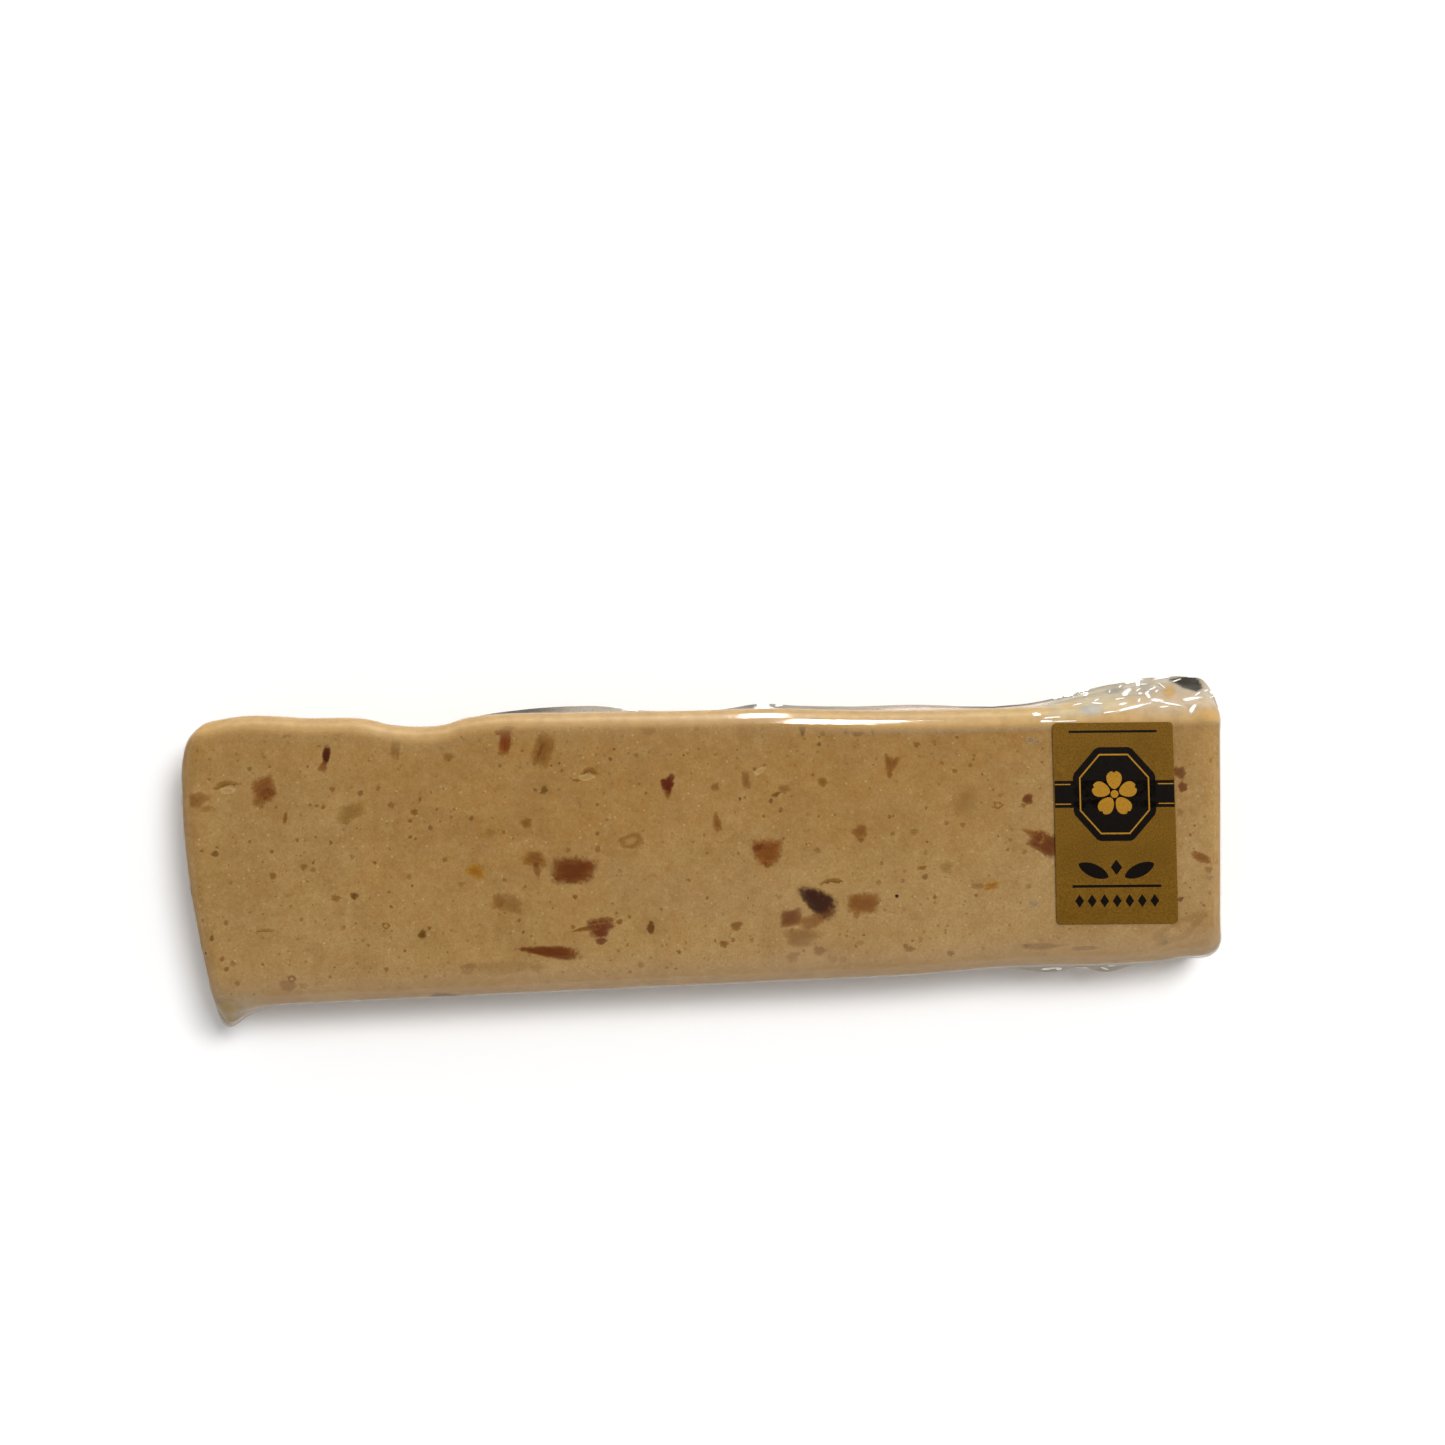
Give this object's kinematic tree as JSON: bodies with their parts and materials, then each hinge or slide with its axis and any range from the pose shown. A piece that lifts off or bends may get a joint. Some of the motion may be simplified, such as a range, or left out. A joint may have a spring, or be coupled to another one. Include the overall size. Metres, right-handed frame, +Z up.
{
  "type": "nougat bar in clear film",
  "caption": "Long, slightly tapered bar of tan nougat with bits of almond, heat-sealed in tight clear film with a crumpled corner, and a gold paper label on its face.",
  "frame": {"origin": "middle of the underside of the bounding box, on the surface that the bar lies on", "axes": "+X along the bar towards the end with the label, +Y across it towards the side with the seam, +Z up out of the face with the label"},
  "size_m": [0.2042, 0.063, 0.0203],
  "materials": {
    "nougat": "dense, fine-grained tan nougat seen through tight film",
    "almond": "bits of almond and almond skin, pale brown to dark red-brown",
    "film": "clear glossy heat-seal film, hazy where it is creased",
    "label": "dull gold paper with a satin face and black print"
  },
  "bodies": {
    "root": {"wrapped_bar": "nougat", "label": "label"}
  },
  "joints": []
}
